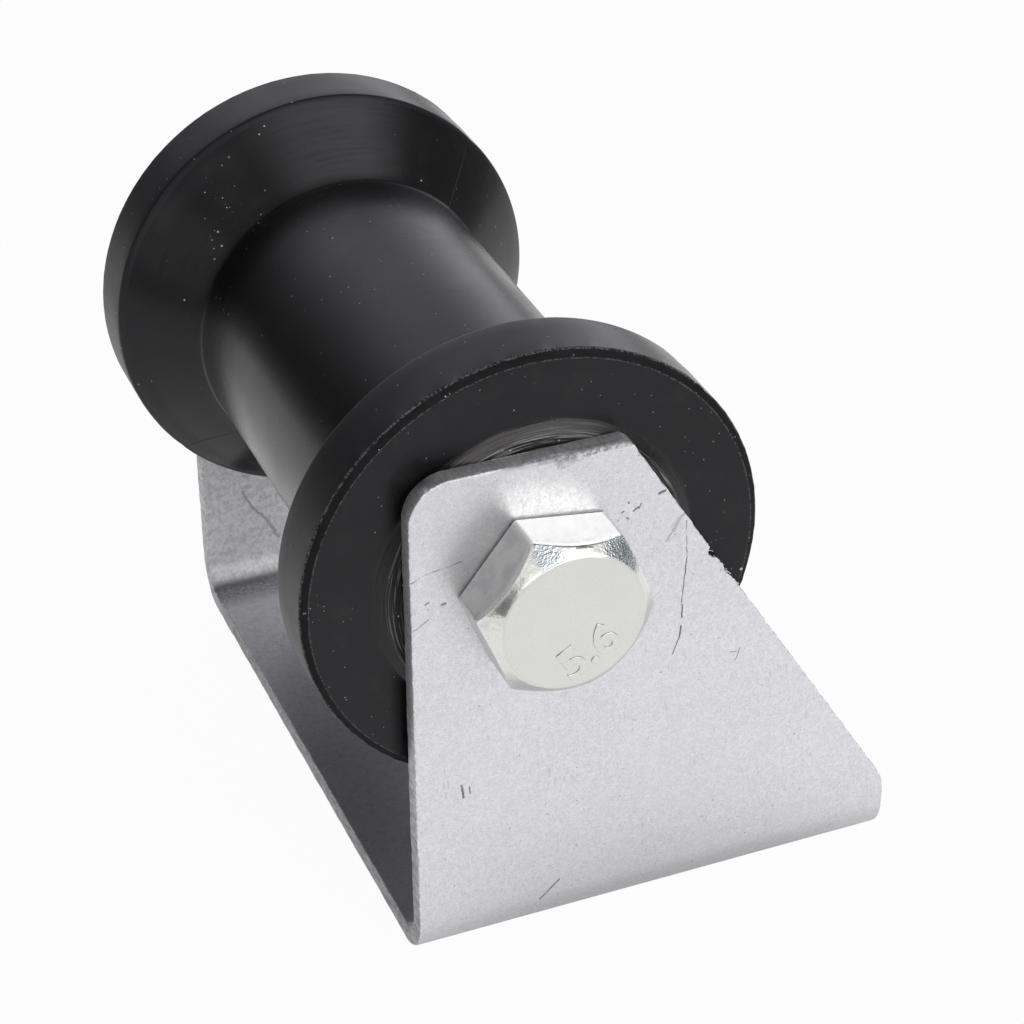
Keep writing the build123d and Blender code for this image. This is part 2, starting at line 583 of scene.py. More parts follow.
# Marks on the ears: from and to, each by its distance from the upright edge and the base, and the width
dark_ear_marks = [
    (41.8, 68.5, 42.0, 62.2, 0.11),
    (42.0, 62.2, 41.4, 54.6, 0.15),
    (41.5, 54.2, 41.5, 51.9, 0.2),
    (41.4, 50.5, 41.2, 48.7, 0.24),
    (41.2, 48.7, 40.2, 45.8, 0.15),
    (37.4, 74.1, 38.3, 74.3, 0.3),
    (38.3, 74.3, 39.0, 75.0, 0.14),
    (40.3, 72.9, 39.9, 72.5, 0.16),
    (0.0, 68.6, 2.4, 69.6, 0.18),
    (2.4, 69.6, 7.6, 70.4, 0.13),
    (0.4, 60.6, 3.0, 62.3, 0.12),
    (4.6, 64.0, 5.1, 64.1, 0.26),
    (2.2, 64.6, 2.6, 64.8, 0.2),
    (31.8, 72.3, 32.0, 72.4, 0.24),
    (32.5, 71.3, 32.7, 71.1, 0.2),
    (32.7, 73.8, 32.8, 73.7, 0.2),
    (33.5, 72.2, 34.2, 72.6, 0.22),
    (34.3, 72.3, 34.7, 73.1, 0.16),
    (7.0, 31.6, 7.3, 29.4, 0.28),
    (8.2, 31.0, 8.3, 29.8, 0.2),
    (51.2, 44.0, 50.4, 41.6, 0.1),
    (49.6, 43.6, 50.6, 43.4, 0.12),
    (19.2, 6.4, 22.4, 9.2, 0.2),
]
soft_ear_smears = [
    (41.9, 70.2, 40.7, 69.0, 0.45),
    (40.7, 69.0, 39.8, 67.5, 0.55),
    (39.8, 67.5, 38.7, 65.8, 0.3),
]
soft_far_ear_smears = [
    (7.0, 20.6, 8.6, 17.0, 0.4),
    (8.6, 17.0, 11.2, 13.7, 0.45),
    (11.2, 13.7, 13.0, 9.8, 0.5),
]
grey_ear_smears = [
    (22.0, 82.9, 26.4, 83.0, 0.8),
    (22.6, 82.3, 24.4, 82.9, 0.9),
    (26.0, 83.1, 31.5, 83.5, 0.5),
]


def marks(listed, place=on_ear):
    """Strokes as (start, end, width) with their ends as points on an ear."""
    return [(place(x, z), place(to_x, to_z), width) for x, z, to_x, to_z, width in listed]


# Marks elsewhere: (start, end, width)
edge_burrs = [
    ((-25.2, -51.6, 83.8), (-20.2, -51.5, 83.8), 0.3),
    ((-30.1, -53.2, 83.5), (-29.1, -52.8, 83.7), 0.24),
    ((-31.5, -53.8, 83.2), (-27.8, -53.9, 83.8), 0.24),
]
head_nick = [
    ((-17.5, -63.0, 74.4), (-16.2, -63.05, 74.3), 0.34),
    ((-15.9, -63.05, 74.25), (-15.2, -63.1, 74.05), 0.26),
]

# Round spots: (middle, reach)
dust_piles = [
    ((-36.5, 35.5, 86.0), 4.5),
    ((-51.5, -50.0, 64.4), 2.0),
    ((-48.2, -50.0, 48.3), 2.6),
    ((-38.2, 31.8, 80.5), 2.8),
    ((-31.7, 29.8, 83.4), 2.2),
]
rubber_crumbs = [
    ((14.4, -50.0, 54.7), 0.3),
    ((-31.2, -50.0, 94.3), 0.17),
    ((-51.2, 39.4, 53.2), 0.3),
    ((-38.0, 32.5, 81.6), 0.22),
    ((-37.9, 31.2, 79.7), 0.22),
]


# Materials

def grey(level, blue=0.0):
    return (level, level, level + blue, 1)


def zinc_sheet():
    """Matt zinc plating with pits, smears and scratches, and bright burrs along its cut edges."""
    paint = Finish("zinc_sheet")
    patches = paint.noise(8)
    mottle = paint.noise(0.6, detail=4, roughness=0.65)
    grain = paint.noise(0.2, roughness=0.6)
    edge = paint.attribute("edge_distance")
    rolled = paint.attribute("rolled")
    rolled_foot = rolled.fade(0.0, 0.3)
    rolled_top = rolled.fade(0.8, 0.98)
    _, along, height = paint.parts(paint.place)

    # The far ear's inner face and the base, where stains gather, and the fold between them; the inner face
    # is made paler as painted light and the fold darker as painted shade
    past = along - inner_face_y
    inside = past.fade(-2.6, -1.0) * past.fade(0.8, 0.5)
    fold_painted_shade = past.fade(-10.0, -4.5) * past.fade(-1.6, -2.8)
    on_base = height.fade(sheet + 0.6, sheet + 0.2)

    scuffs = paint.noise(0.42, stretch=(1.0, 1.0, 0.2)).fade(0.6, 0.68) * patches.fade(0.5, 0.62)
    rubs = paint.noise(0.5, stretch=(1.0, 0.12, 1.0)).fade(0.62, 0.7) * patches.fade(0.45, 0.6)
    stains = paint.noise(1.4, detail=5, roughness=0.75).fade(0.46, 0.64) * paint.most(inside, on_base) * 0.6
    dust = paint.most(paint.specks(1.3, 0.15, 0.35), rubs * 0.35) * on_base
    burr = edge.fade(0.2, 0.06) * paint.noise(0.8).fade(0.5, 0.56) * (1.0 - rolled_foot)
    pits = paint.most(paint.specks(1.5, 0.13, 0.14), paint.specks(5.5, 0.06, 0.35),
                      paint.specks(0.8, 0.24, 0.35) * patches.fade(0.55, 0.65))
    smears = paint.strokes(marks(grey_ear_smears), wander=1.6) * mottle.fade(0.42, 0.6)
    soft = paint.strokes(marks(soft_ear_smears) + marks(soft_far_ear_smears, on_far_ear), wander=0.8)
    scratches = paint.strokes(marks(dark_ear_marks)) * mottle.fade(0.25, 0.55, 0.45, 0.9)
    foot_mottle = rolled_foot * mottle.fade(0.42, 0.56, 0.0, 0.65)
    top_mottle = rolled_top * mottle.fade(0.35, 0.6, 0.5, 0.95)
    colour = paint.layers(paint.mix(paint.noise(14, detail=4), sheet_dark, sheet_light), [
        (mottle.fade(0.4, 0.66, 0.0, 0.55), sheet_bright),
        (grain.fade(0.48, 0.72, 0.0, 0.7), sheet_grain),
        # Painted light: the far ear's inner face made paler
        (inside * mottle.fade(0.35, 0.6, 0.45, 1.0), far_ear_painted_light),
        (stains * 0.6, grey(0.42, 0.02)),
        (paint.most(foot_mottle, top_mottle), grey(0.3, 0.01)),
        (scuffs * (inside * 0.4 + 0.35), grey(0.4, 0.02)),
        # Painted shade in the fold between the base and the far ear
        (fold_painted_shade * mottle.fade(0.35, 0.6, 0.35, 0.8), grey(0.2, 0.01)),
        (smears * 0.65, grey(0.2, 0.01)),
        (soft * 0.6, grey(0.33, 0.01)),
        (pits * 0.75, grey(0.18, 0.02)),
        (scratches, grey(0.1, 0.01)),
        (paint.most(burr, dust * 0.5), grey(0.93)),
    ])
    rough = mottle.fade(0.3, 0.75, 0.42, 0.33) + rolled_foot * 0.35 + inside * 0.25
    rough = rough + edge.fade(0.4, 0.1) * 0.3
    metal = 1.0 - paint.most(burr, dust, inside * 0.3) * 0.8
    relief = paint.bump(grain * 0.4, 0.03, paint.bump(mottle, 0.02))
    return paint.surface(Base_Color=colour, Metallic=metal, Roughness=rough, Normal=relief)


def cut_edge():
    """Sheared edge of the sheet: rough and grey, with drag lines across it and bright burrs."""
    paint = Finish("cut_edge")
    drag = paint.noise(0.6, detail=5, roughness=0.7, stretch=(1.0, 0.35, 1.0))
    ragged = paint.noise(0.5, detail=2).fade(0.42, 0.5)
    burr = paint.most(paint.specks(0.8, 0.28, 0.1), paint.strokes(edge_burrs, wander=0.1) * ragged)
    across, along, height = paint.parts(paint.place)
    # Nearly black along the torn stretch of the near ear's slanted edge
    dark_torn_stretch = height.near(60.0, 6.0, 4.0) * along.fade(0.0, -1.0) * across.fade(axis_x, 0.0)
    colour = paint.layers(paint.mix(drag.fade(0.3, 0.7), grey(0.42, 0.01), grey(0.74, 0.02)), [
        (dark_torn_stretch * 0.95, grey(0.012)),
        (burr, grey(0.93)),
    ])
    return paint.surface(Base_Color=colour, Metallic=0.8 - burr * 0.5,
                         Roughness=drag.fade(0.3, 0.7, 0.75, 0.55), Normal=paint.bump(drag, 0.05))


def bright_zinc():
    """Bright plated steel of the bolt and nut: matt on the flats, shiny and hammered on the bevels."""
    paint = Finish("bright_zinc")
    mottle = paint.noise(0.9, detail=4)
    _, angle, along = paint.round_bolt()
    bevel = paint.attribute("bevel")
    painted_edge_highlight = paint.attribute("painted_edge_highlight")

    # The hammered stretches of the head's bevel, by their angle round it, which also carry a painted bluish
    # reflection, and its shaded left side
    by_corners = paint.most(angle.near(0.85, 0.38, 0.2), angle.near(1.86, 0.24, 0.08))
    on_side = angle.fade(1.98, 2.05) * along.fade(head_top_y + 1.2, head_top_y + 1.7)
    shaded = paint.noise(2.5, detail=4, roughness=0.6).fade(0.4, 0.65, 0.0, 0.4)
    colour = paint.layers(paint.mix(paint.noise(5), bolt_dark, bolt_light), [
        (paint.noise(0.25).fade(0.45, 0.8, 0.0, 0.35), grey(0.45, -0.01)),
        (paint.specks(1.5, 0.12, 0.12) * 0.6, grey(0.25)),
        # Painted reflection: a bluish tint on the hammered stretches of the bevel
        (bevel * by_corners * 0.55, bevel_reflection_blue),
        (shaded * on_side, grey(0.42, 0.05)),
        # Painted highlight along the lines where the bevel meets the sides
        (painted_edge_highlight, grey(0.95)),
        (paint.strokes(head_nick) * 0.9, grey(0.1)),
    ])
    dents = paint.noise(0.42, roughness=0.6) * (bevel * (by_corners * 0.8 + 0.2))
    return paint.surface(Base_Color=colour, Metallic=1.0 - painted_edge_highlight * 0.7,
                         Roughness=mottle.fade(0.3, 0.7, 0.4, 0.34) - bevel * 0.2,
                         Normal=paint.bump(dents, 0.13, paint.bump(mottle, 0.01)))


def rubber():
    """Moulded black rubber: satin, dusty, rubbed grey on the hubs and dull on the rims."""
    paint = Finish("rubber")
    distance, angle, along = paint.round_bolt()
    from_middle = abs(along)
    sideways = paint.maths("COSINE", angle)
    outward = along * 1.3 + distance
    ring = paint.add("ShaderNodeCombineXYZ", {0: sideways, 1: paint.maths("SINE", angle), 2: outward})
    film = paint.noise(5, detail=5, roughness=0.6)
    grain = paint.noise(0.3)
    cloud = paint.noise(11, detail=4)
    streaks = paint.noise(0.9, detail=4, roughness=0.7, place=ring, stretch=(3.0, 3.0, 1.0))
    rings = paint.noise(0.24, roughness=0.6, place=ring, stretch=(0.8, 0.8, 1.0))

    # Dust: a few dots anywhere, more in patches, at the barrel's foot and on the flanges' faces
    gathered = paint.noise(10, detail=2).fade(0.54, 0.66, 0.4, 1.0)
    at_foot = from_middle.near(barrel_end, 2.0, 0.5)
    on_face = from_middle.fade(flange_face_y - 0.3, flange_face_y - 0.1)
    dust = paint.most(
        paint.specks(1.3, 0.15, 0.4) * paint.most(gathered, at_foot),
        paint.specks(0.6, 0.22, 0.6) * paint.spots(dust_piles, 0.4),
        paint.spots(rubber_crumbs, 0.5),
        paint.specks(3.5, 0.06, 0.6),
        paint.specks(1.3, 0.12, 0.8) * on_face,
    )

    # Where the ears rub: pale rings on the hub's face, and on its shoulder a brown-grey scuff that is partly
    # a painted highlight, strongest at the top
    on_hub = from_middle.fade(hub_face_y - 0.3, hub_face_y - 0.1)
    pale = on_hub * rings.fade(0.49, 0.6) * distance.fade(worn_ring_radius + 2.0, worn_ring_radius + 4.2)
    pale = pale * angle.near(1.3, 1.6, 0.6, 0.6, 1.0)
    on_shoulder = distance.fade(hub_foot_radius + 0.6, hub_foot_radius + 0.1)
    on_shoulder = on_shoulder * from_middle.fade(flange_face_y - 0.1, flange_face_y)
    scuff_and_top_highlight = on_shoulder * angle.near(1.75, 0.8, 0.4, 0.2, 1.0) * rings.fade(0.35, 0.65)

    # A dusty film on top of the cones, and painted shade as a thin dark line with a trail of dust along the
    # parting
    round_top = paint.most(angle.near(1.55, 0.5, 0.15), angle.near(2.6, 0.3, 0.1, 0.0, 0.45))
    on_cone = from_middle.fade(barrel_end - 0.5, barrel_end + 1.5)
    on_cone = on_cone * from_middle.fade(rim_inner_y + 0.2, rim_inner_y - 0.8)
    top_film = on_cone * round_top * streaks.fade(0.2, 0.6, 0.6, 1.0)
    off_parting = [abs((angle - parting) * distance) for parting in parting_angles]
    parting_shade = paint.most(*[arc.fade(0.22, 0.08) for arc in off_parting])
    parting_shade = parting_shade * from_middle.fade(flange_face_y - 0.2, flange_face_y - 1.2)
    trail = paint.most(*[arc.fade(1.3, 0.5) for arc in off_parting]) * on_cone * paint.specks(0.55, 0.2, 0.4)

    # A dull bevel round each flange, its colour a little darker as painted shade, with light torn edges
    # along it
    bevel_radius = flange_radius - rim_bevel_width
    on_bevel = from_middle.fade(bevel_foot_y - 0.05, bevel_foot_y + 0.08)
    on_bevel = on_bevel * distance.fade(bevel_radius - 0.15, bevel_radius)
    outer_line = from_middle.near(bevel_foot_y, 0.2, 0.08)
    outer_line = outer_line * distance.fade(flange_radius - 0.4, flange_radius - 0.2)
    inner_line = distance.near(bevel_radius - 0.1, 0.16, 0.06)
    inner_line = inner_line * from_middle.fade(bevel_foot_y + 0.5, bevel_foot_y + 0.6)
    lines = paint.most(outer_line, inner_line * 0.5) * grain.fade(0.42, 0.6)
    on_rim = distance.fade(flange_radius - 0.7, flange_radius - 0.3)

    colour = paint.layers(paint.mix(cloud, rubber_dark, rubber_light), [
        (on_rim * 0.8, rubber_rim),
        (film.fade(0.5, 0.75, 0.0, 0.5), rubber_film),
        # Scuff and painted highlight on the hub's shoulder
        (scuff_and_top_highlight * 0.7, shoulder_scuff_and_highlight),
        (pale * 0.8, grey(0.22, -0.005)),
        (top_film, cone_film),
        # Painted shade: the bevel a little darker
        (on_bevel * film.fade(0.4, 0.6, 0.45, 0.9), grey(0.006)),
        (lines, grey(0.13, 0.005)),
        # Painted shade along the parting
        (parting_shade, grey(0.004)),
        (paint.most(dust, trail * 0.4) * 0.8, grey(0.6)),
    ])
    rough = cloud.fade(0.3, 0.7, rubber_rough + 0.03, rubber_rough - 0.03) + film * 0.06 + on_bevel * 0.55
    rough = rough + on_rim * sideways.fade(-0.6, 0.7, 0.17, 0.03)
    relief = paint.bump(grain, 0.006, paint.bump(streaks, 0.007))
    return paint.surface(Base_Color=colour, Roughness=rough, Specular_IOR_Level=rubber_shine,
                         Specular_Tint=rubber_tint, Normal=relief)


def nylon():
    """Milky nylon of the lock nut's ring."""
    paint = Finish("nylon")
    cloud = paint.noise(3)
    colour = paint.mix(cloud, grey(0.74, -0.04), grey(0.84, -0.04))
    return paint.surface(Base_Color=colour, Roughness=cloud.fade(0.3, 0.7, 0.5, 0.4), Subsurface_Weight=0.15,
                         Subsurface_Radius=(0.002, 0.002, 0.0015), Normal=paint.bump(paint.noise(0.4), 0.02))


# Pieces

def roller_outline():
    """A section through the moulding as (radius, place along Y) points, closer where the hubs are worn."""
    half = [
        (bore_radius, hub_face_y - bore_bevel, 0.3),
        (bore_radius + bore_bevel, hub_face_y, 0.3),
        (worn_ring_radius, hub_face_y, 0),
        (hub_radius, hub_face_y, 0.3),
        (hub_foot_radius, flange_face_y, 0.3),
        (flange_radius - rim_bevel_width, flange_face_y, 0.2),
        (flange_radius - 0.15, bevel_foot_y + 0.1, 0.08),
        (flange_radius, bevel_foot_y - 0.15, 0.12),
        (flange_radius, rim_inner_y, rim_inner_round),
        (barrel_radius, barrel_end, barrel_foot_round),
    ]
    other_half = [(radius, -along, rounding) for radius, along, rounding in reversed(half)]
    outline = rounded(half + other_half, closed=True)
    outline = np.vstack([outline, outline[:1]])
    counts = run_counts(outline, roller_grid)
    at_face = np.abs(outline[:, 1]) > hub_face_y - 0.01
    outermost = np.maximum(outline[:-1, 0], outline[1:, 0])
    worn_runs = at_face[:-1] & at_face[1:] & (outermost > worn_ring_radius + 0.1)
    counts[worn_runs] = run_counts(outline, worn_grid)[worn_runs]
    counts[-1] = 1
    return divided(outline, counts)[:-1]


def roller_angles():
    """Angles round the roller, closer together at both partings."""
    angles = list(np.linspace(-math.pi, math.pi, roller_segments, endpoint=False))
    beside = (0.15, 0.3, 0.45, 0.65, 1.0, 1.6, 4.8)
    close = [0.0] + [math.radians(side * offset) for side in (-1, 1) for offset in beside]
    for parting in parting_angles:
        angles += [(parting + offset + math.pi) % TURN - math.pi for offset in close]
    return np.array(sorted(angles))


def worn_hubs(radius, along, around):
    """Places along Y, with grooves that the ears rubbed into the hubs."""
    wear = 0.55 + 0.45 * np.sin(3 * around + 1.3) * np.sin(2 * around)
    rubbed = np.zeros_like(radius)
    for place, width in worn_grooves:
        rubbed += np.exp(-((radius - place) / width) ** 2)
    on_hub_face = np.abs(along) > hub_face_y - 0.01
    return np.where(on_hub_face, along - np.sign(along) * worn_groove_depth * wear * rubbed, along)


def parted(radius, around, outline):
    """Radii, with the mould's two halves slightly out of line and a thin ragged ridge where they met."""
    outside = radius > barrel_radius - 0.5
    ragged = np.clip(0.3 + waves(outline, 13, 0.8, 3.2, 0.6), 0, 1)
    for parting in parting_angles:
        turn = (around - parting + math.pi) % TURN - math.pi
        arc = turn * radius
        ridge = parting_ridge * ragged * np.exp(-(arc / parting_ridge_width) ** 2)
        flat = flange_radius * math.cos(rim_flat_half_angle) / np.cos(np.clip(turn, -1, 1))
        radius = np.where(outside, radius + ridge, radius)
        radius = np.where(np.abs(turn) < rim_flat_half_angle, np.minimum(radius, flat), radius)
    turn = (around - parting_angles[0]) % TURN
    shift = np.where(turn < math.pi, mould_shift * np.cos(turn), 0.0)
    return np.where(outside, radius + shift, radius)


def torn_flash(radius, along, around):
    """Radii, with a torn thread of flash along the outer edge of each rim's bevel."""
    rim_arc = np.stack([around * flange_radius, np.zeros_like(around)], 2).reshape(-1, 2)
    torn = np.clip(waves(rim_arc, 9, 0.7, 4.0, 1.0).reshape(around.shape), 0, 1.5)
    at_bevel = np.exp(-((np.abs(along) - bevel_foot_y) / 0.25) ** 2) * (radius > flange_radius - 1.0)
    return radius + rim_flash * torn * at_bevel * np.where(along > 0, far_rim_flash, 1.0)


def knocked(radius, along, around):
    """Radii, with small knocks along the edges of the rims."""
    draw = random.Random(7)
    edges = (bevel_foot_y, rim_inner_y, -rim_inner_y, -bevel_foot_y)
    for _ in range(knock_count):
        edge = draw.choice(edges)
        middle = draw.uniform(-math.pi, math.pi)
        long = draw.uniform(*knock_length)
        deep = draw.uniform(*knock_depth) * (near_rim_knocks if edge < 0 else far_rim_knocks)
        turn = (around - middle + math.pi) % TURN - math.pi
        knock = np.exp(-(turn / long) ** 2 - ((along - edge) / knock_reach) ** 2)
        radius = np.where(radius > flange_radius - 1.5, radius - deep * knock, radius)
    return radius


def make_roller(material):
    """The rubber moulding, with its parting line, worn hubs and knocked rims."""
    outline = roller_outline()
    angles = roller_angles()
    around = np.repeat(angles[:, None], len(outline), axis=1)
    radius = np.tile(outline[:, 0], (len(angles), 1))
    along = worn_hubs(radius, np.tile(outline[:, 1], (len(angles), 1)), around)
    radius = parted(radius, around, outline)
    at_far_rim = (along > rim_inner_y - 1.5) & (radius > flange_radius - 1.5)
    radius = radius + at_far_rim * (far_rim_swell + far_rim_shift * np.cos(around - far_rim_side))
    radius = knocked(torn_flash(radius, along, around), along, around)
    profiles = np.stack([radius, along], axis=2)
    return turned("roller_rubber", profiles, angles, [material], closed=True, sharp=50)


def ear_left(height):
    """The ears' upright edge, with its rounded top corner."""
    over = np.clip(height - (bracket_high[2] - ear_corner_round), 0, ear_corner_round)
    return bracket_low[0] + ear_corner_round - np.sqrt(ear_corner_round ** 2 - over ** 2)


def ear_right(height):
    """The ears' short upright edge and the slanted one above it, with a slightly blunt corner."""
    slanted = bracket_low[0] + ear_top_width + (bracket_high[2] - height) * slant_run
    blunt = 0.5
    blend = -blunt * np.logaddexp(-slanted / blunt, -bracket_high[0] / blunt)
    worn_top = 0.7 * np.clip(height - (bracket_high[2] - 1.0), 0, 1) ** 2
    return blend - worn_top


def sheet_stations():
    """Rows across the folded sheet, from the near ear's top to the far ear's: place along Y and Z of the
    middle of the sheet, the outward direction there, and the height for the ears' outline or 0."""
    fold = bend_radius + sheet / 2
    middle_y = bracket_high[1] - sheet / 2
    fold_top = sheet / 2 + fold
    corner_foot = bracket_high[2] - ear_corner_round
    heights = [corner_foot + ear_corner_round * math.sin(a) for a in np.linspace(math.pi / 2, 0, 15)]
    lowest = ear_toe_height + 1.5
    heights += list(np.arange(corner_foot - ear_grid, torn_top, -ear_grid))
    heights += list(np.arange(torn_top, torn_foot, -torn_grid))
    heights += list(np.linspace(torn_foot, lowest, round((torn_foot - lowest) / ear_grid)))
    heights += [ear_toe_height + x for x in (1.0, 0.5, 0, -0.5, -1.0, -2.0, -3.4)]
    near = [(-middle_y, height, -1.0, 0.0, height) for height in heights]
    for angle in np.linspace(0, math.pi / 2, 13):
        out = (-math.cos(angle), -math.sin(angle))
        near.append((-middle_y + fold + fold * out[0], fold_top + fold * out[1], out[0], out[1], 0.0))
    inner = middle_y - fold
    steps = round(2 * inner / sheet_grid)
    base = [(y, sheet / 2, 0.0, -1.0, 0.0) for y in np.linspace(-inner, inner, steps)[1:-1]]
    far = [(-y, z, -out_y, out_z, height) for y, z, out_y, out_z, height in reversed(near)]
    return np.array(near + base + far)


def row_ends(stations, near, slant):
    """Left and right end of each row. The near ear's slanted edge was cut roughly, with a torn stretch."""
    heights = stations[:, 4]
    left = np.where(heights > 0, ear_left(heights), bracket_low[0])
    right = np.where(heights > 0, ear_right(heights), bracket_high[0])
    apart = heights[:, None] + 200 * near[:, None]
    jag = waves(heights[:, None], 3, 1.2, 5.0, 0.05) + waves(apart, 5, 1.7, 3.0, 0.05)
    stretch = np.exp(-((heights - torn_middle) / torn_reach) ** 2)
    torn = np.abs(stretch * waves(heights[:, None], 11, 0.6, 2.4, 0.26))
    for place, reach, deep in torn_notches:
        torn = torn + deep * np.exp(-((heights - place) / reach) ** 2)
    right = right + np.where(slant, jag, 0) - np.where(near & slant, torn, 0)
    return left + waves(stations[:, :2], 17, 2.0, 9.0, 0.04), right


def grid_border(rows, columns):
    """Numbers of the points along a grid's border, in order round it."""
    border = list(range(columns))
    border += [row * columns + columns - 1 for row in range(1, rows)]
    border += [(rows - 1) * columns + column for column in range(columns - 2, -1, -1)]
    return border + [row * columns for row in range(rows - 2, 0, -1)]


def make_bracket(material, edge_material):
    """The folded sheet: a grid over its whole outline, with rounded cut edges and drilled holes."""
    stations = sheet_stations()
    heights = stations[:, 4]
    on_ears = heights > 0
    near = on_ears & (stations[:, 0] < 0)
    slant = on_ears & (heights > ear_toe_height)
    left, right = row_ends(stations, near, slant)

    # Places across each row, closer together at both edges
    lean = math.cos(math.atan(slant_run))
    inside = np.linspace(0, 1, ear_columns + 2)[1:-1]
    starts = left[:, None] + edge_columns
    ends = right[:, None] - edge_columns[::-1] / lean
    span = ends[:, :1] - starts[:, -1:]
    x = np.hstack([starts, starts[:, -1:] + span * inside, ends])
    rows, columns = x.shape
    across_row = np.ones((1, columns))
    height = heights[:, None] * across_row

    # The sheet thins towards every cut edge in a small rounding
    corner_x = bracket_low[0] + ear_corner_round
    corner_z = bracket_high[2] - ear_corner_round
    in_corner = (x < corner_x) & (height > corner_z)
    from_corner = ear_corner_round - np.hypot(x - corner_x, height - corner_z)
    to_left = np.where(in_corner, from_corner, x - left[:, None])
    to_right = (right[:, None] - x) * np.where(slant, lean, 1.0)[:, None]
    to_top = np.where(on_ears[:, None], bracket_high[2] - height, 99.0)
    edge = np.clip(np.minimum(np.minimum(to_left, to_right), to_top), 0, None)
    inward = cut_edge_round - np.minimum(edge, cut_edge_round)
    half = sheet / 2 - cut_edge_round + np.sqrt(cut_edge_round ** 2 - inward ** 2)

    # The shears drew the near ear's top edge down towards its right corner
    drawn = np.clip((x - bracket_low[0] - edge_roll_start) / (edge_roll_full - edge_roll_start), 0, 1)
    to_edge = np.clip(1 - to_top / edge_roll_height, 0, 1) * near[:, None]
    depth = edge_roll_depth * drawn * drawn * (3 - 2 * drawn) * (1 - np.sqrt(1 - to_edge ** 2))
    outer_half = np.minimum(half, sheet / 2 - depth)
    rolled = drawn * np.sqrt(to_edge)

    # The sheet is slightly uneven, but flat round the bolt
    row_y, row_z, out_y, out_z = [stations[:, i:i + 1] * across_row for i in range(4)]
    place = np.stack([x, row_y, row_z], axis=2)
    out = np.stack([np.zeros_like(x), out_y, out_z], axis=2)
    flat_place = place.reshape(-1, 3)
    sway = (waves(flat_place, 21, 25, 70, 0.05) + waves(flat_place, 22, 6, 14, 0.008)).reshape(rows, columns)
    free = np.clip((np.hypot(x - axis_x, row_z - axis_z) - flat_radius) / flat_fade, 0, 1)
    lifted = np.where(on_ears[:, None], sway * free, 0.0)
    outer = place + out * (outer_half + lifted)[:, :, None]
    inner = place - out * (half - lifted)[:, :, None]

    count = rows * columns
    faces = grid_faces(rows, columns, False, False)
    faces += [tuple(reversed(face)) for face in grid_faces(rows, columns, False, False, count)]
    border = grid_border(rows, columns)
    around = list(zip(border, border[1:] + border[:1]))
    faces += [(b, a, a + count, b + count) for a, b in around]
    piece = solid("bracket_sheet", np.vstack([outer.reshape(-1, 3), inner.reshape(-1, 3)]), faces,
                  [material, edge_material], sharp=50)
    mark_points(piece, "edge_distance", np.tile(edge.ravel(), 2))
    mark_points(piece, "rolled", np.concatenate([rolled.ravel(), np.zeros(count)]))
    index = np.zeros(len(faces), np.int32)
    index[-len(around):] = 1
    piece.data.polygons.foreach_set("material_index", index)
    for side in (-1, 1):
        drill(piece, ear_hole_radius, Vector((axis_x, side * (bracket_high[1] - sheet / 2), axis_z)), 90)
        drill(piece, base_hole_radius, Vector((0, side * base_hole_spacing / 2, sheet / 2)), 0)
    return piece


def make_slivers(name, ends, wide, curl, seed, material):
    """Thin bent strips that taper from a root in the near ear's slanted edge to a tip."""
    draw = random.Random(seed)
    section = [(1.0, 0.0), (0.0, 0.5), (-1.0, 0.0), (0.0, -0.5)]
    stations = 9
    points = []
    faces = []
    for root, tip in ends:
        ahead = tip - root
        side = unit(np.cross(ahead, [0.0, 1.0, 0.0]))
        bend = draw.uniform(-curl, curl)
        broad = draw.uniform(0.6, 1.0) * wide
        first = len(points)
        for station in range(stations):
            share = station / (stations - 1)
            middle = root + ahead * share + side * bend * math.sin(math.pi * share)
            half = broad * (1.12 - share)
            points += [middle + side * half * a + np.array([0.0, half * b, 0.0]) for a, b in section]
        faces += grid_faces(stations, 4, False, True, first)
        faces.append((first, first + 1, first + 2, first + 3))
        faces.append(tuple(len(points) - corner for corner in (1, 2, 3, 4)))
    return solid(name, points, faces, [material], sharp=60)


def torn_edge_ends():
    """Roots and tips of the rubber fibres and of the metal burrs on the slanted edge's torn stretch."""
    draw = random.Random(41)
    front = bracket_low[1]
    fibres = []
    for x, z in fibre_tips:
        edge = float(ear_right(np.array(z - 1.4)))
        fibres.append((np.array([edge - 1.0, front + 1.4, z - 1.4]), np.array([x, front + 1.0, z])))
    burrs = []
    for step in range(burr_count):
        z = torn_top - 2.0 - step * (torn_top - torn_foot - 4.0) / burr_count + draw.uniform(-0.3, 0.3)
        edge = float(ear_right(np.array(z)))
        y = front + draw.choice([0.25, 0.4, 1.6, 2.4])
        out = draw.uniform(0.05, 0.5)
        tip = np.array([edge + out, y - 0.1, z - draw.uniform(0.2, 1.0)])
        burrs.append((np.array([edge - 1.1, y, z]), tip))
    return fibres, burrs


